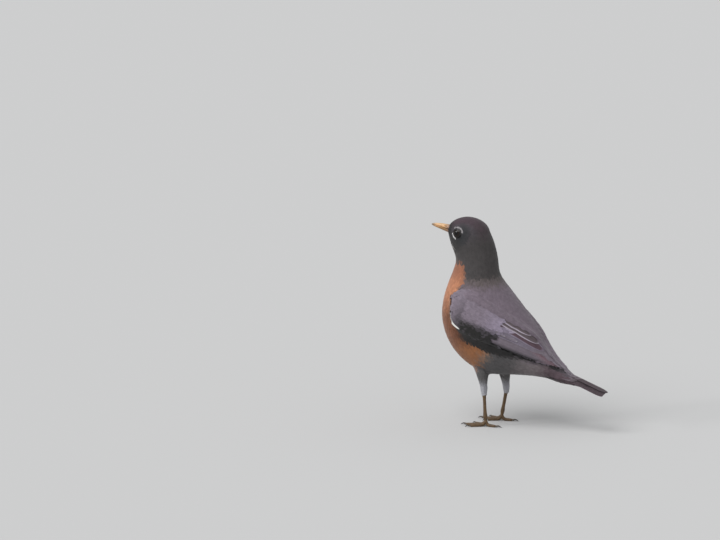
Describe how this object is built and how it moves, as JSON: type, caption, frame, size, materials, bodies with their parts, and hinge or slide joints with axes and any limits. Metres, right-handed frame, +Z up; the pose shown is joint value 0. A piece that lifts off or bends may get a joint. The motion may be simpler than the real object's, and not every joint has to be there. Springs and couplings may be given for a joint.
{
  "type": "american robin (life-size still bird model)",
  "caption": "Life-size still model of a standing songbird: upright body, folded wings, narrow tail, slim legs and spread toes on small flats.",
  "frame": {"origin": "on the floor, under the middle of the bird's bounding box", "axes": "+Z up, the bird faces -Y and its left side is at +X"},
  "size_m": [0.0716, 0.1866, 0.2097],
  "materials": {
    "dark_feathers": "soft",
    "breast_feathers": "soft",
    "wing_feathers": "soft",
    "tail_feathers": "soft",
    "thigh_feathers": "soft",
    "leg_scales": "scaled",
    "claw_horn": "satin",
    "eye": "wet gloss",
    "bill_horn": "satin"
  },
  "bodies": {
    "root": {"head": "dark_feathers", "neck": "dark_feathers", "trunk": "breast_feathers", "tail": "tail_feathers", "wing_left": "wing_feathers", "wing_right": "wing_feathers", "thigh_left": "thigh_feathers", "thigh_right": "thigh_feathers", "shank_left": "leg_scales", "shank_right": "leg_scales", "foot_left": "leg_scales", "foot_right": "leg_scales", "claw_left_inner": "claw_horn", "claw_left_middle": "claw_horn", "claw_left_outer": "claw_horn", "claw_left_hind": "claw_horn", "claw_right_inner": "claw_horn", "claw_right_middle": "claw_horn", "claw_right_outer": "claw_horn", "claw_right_hind": "claw_horn", "eye_left": "eye", "eye_right": "eye", "bill_upper": "bill_horn", "bill_lower": "bill_horn"}
  },
  "joints": []
}
